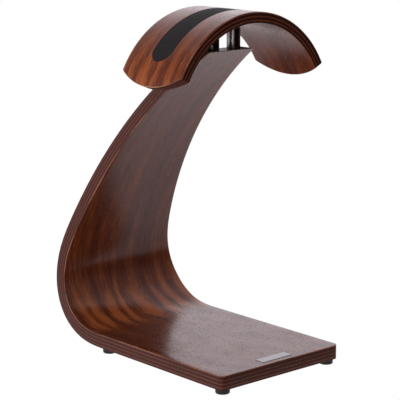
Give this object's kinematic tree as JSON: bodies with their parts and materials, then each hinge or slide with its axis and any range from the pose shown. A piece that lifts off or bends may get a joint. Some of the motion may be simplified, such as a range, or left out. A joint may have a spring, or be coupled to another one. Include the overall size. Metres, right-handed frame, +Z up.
{
  "type": "headphone stand",
  "caption": "Desk stand for headphones: a bent plywood base and leaning neck carry a curved plywood saddle with an inlaid rubber strip on short metal posts.",
  "frame": {"origin": "on the surface that the stand rests on, under the middle of its bounding box", "axes": "+Z up, the front with the badge faces -Y, the neck rises at the back (+Y) and leans forward, X across"},
  "size_m": [0.1474, 0.2034, 0.2686],
  "materials": {
    "lacquered_ply": "striped mahogany-type veneer under satin gloss lacquer, with the ply layers showing on the edges",
    "pad_rubber": "matt black, fine grained",
    "foot_rubber": "satin black",
    "post_metal": "polished black nickel",
    "fastener_steel": "zinc plated",
    "badge_metal": "satin, blank",
    "adhesive_film": "translucent film"
  },
  "bodies": {
    "root": {"frame": "lacquered_ply", "saddle": "lacquered_ply", "saddle_pad": "pad_rubber", "pad_adhesive": "adhesive_film", "post_left": "post_metal", "post_right": "post_metal", "saddle_screw_left": "fastener_steel", "saddle_screw_right": "fastener_steel", "post_stud_left": "fastener_steel", "post_stud_right": "fastener_steel", "badge": "badge_metal", "badge_adhesive": "adhesive_film", "foot_front_left": "foot_rubber", "foot_front_right": "foot_rubber", "foot_rear_left": "foot_rubber", "foot_rear_right": "foot_rubber", "foot_adhesive_front_left": "adhesive_film", "foot_adhesive_front_right": "adhesive_film", "foot_adhesive_rear_left": "adhesive_film", "foot_adhesive_rear_right": "adhesive_film"}
  },
  "joints": []
}
